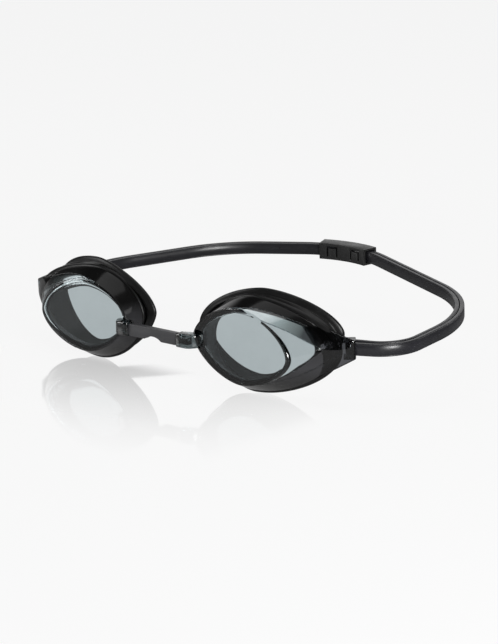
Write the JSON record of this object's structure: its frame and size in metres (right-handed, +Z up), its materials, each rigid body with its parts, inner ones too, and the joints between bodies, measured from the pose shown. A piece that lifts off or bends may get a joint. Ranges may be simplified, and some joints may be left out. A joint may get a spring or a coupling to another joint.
{
  "type": "swim goggles",
  "caption": "Low-profile swim goggles: oval lens cups with soft face gaskets, a soft nose bridge and a doubled head strap joined by a rear clip.",
  "frame": {"origin": "middle of the bounding box, on the floor that the gaskets stand on", "axes": "+X towards the wearer's left temple, +Y back along the head strap, +Z up; the lens fronts face -Y"},
  "size_m": [0.1676, 0.1264, 0.0378],
  "materials": {
    "smoke_lens": "clear smoke, polished",
    "gasket_silicone": "soft satin silicone",
    "bridge_rubber": "matt",
    "strap_silicone": "satin silicone",
    "clip_plastic": "matt black"
  },
  "bodies": {
    "bridge": {"nose_bridge": "bridge_rubber"},
    "left_cup": {"left_lens": "smoke_lens", "left_gasket": "gasket_silicone"},
    "right_cup": {"right_lens": "smoke_lens", "right_gasket": "gasket_silicone"},
    "left_band": {"left_strap": "strap_silicone"},
    "right_band": {"right_strap": "strap_silicone"},
    "clip": {"rear_clip": "clip_plastic"}
  },
  "joints": [
    {"name": "left_cup_swing", "type": "hinge", "parent": "bridge", "child": "left_cup", "pos_m": [0.00318, -0.06121, 0.0175], "axis": [0, 0, 1], "range_deg": [-3, 3], "stiffness_Nm_per_rad": 0.05},
    {"name": "right_cup_swing", "type": "hinge", "parent": "bridge", "child": "right_cup", "pos_m": [-0.01782, -0.06121, 0.0175], "axis": [0, 0, 1], "range_deg": [-3, 3], "stiffness_Nm_per_rad": 0.05},
    {"name": "left_strap_swing", "type": "hinge", "parent": "left_cup", "child": "left_band", "pos_m": [0.06588, -0.04041, 0.02031], "axis": [0, -0.0523, 0.9986], "range_deg": [-4.1, 4.1]},
    {"name": "right_strap_swing", "type": "hinge", "parent": "right_cup", "child": "right_band", "pos_m": [-0.08052, -0.04041, 0.02031], "axis": [0, -0.0523, 0.9986], "range_deg": [-4.1, 4.1]},
    {"name": "clip_slide", "type": "hinge", "parent": "left_band", "child": "clip", "pos_m": [-0.01046, 0.01788, 0.02336], "axis": [0, -0.0523, 0.9986], "range_deg": [-8, 8]}
  ],
  "couplings": [
    {"joint": "right_cup_swing", "follows": "left_cup_swing", "ratio": -1},
    {"joint": "left_strap_swing", "follows": "left_cup_swing", "ratio": -1.3126},
    {"joint": "right_strap_swing", "follows": "left_cup_swing", "ratio": 1.3518}
  ]
}
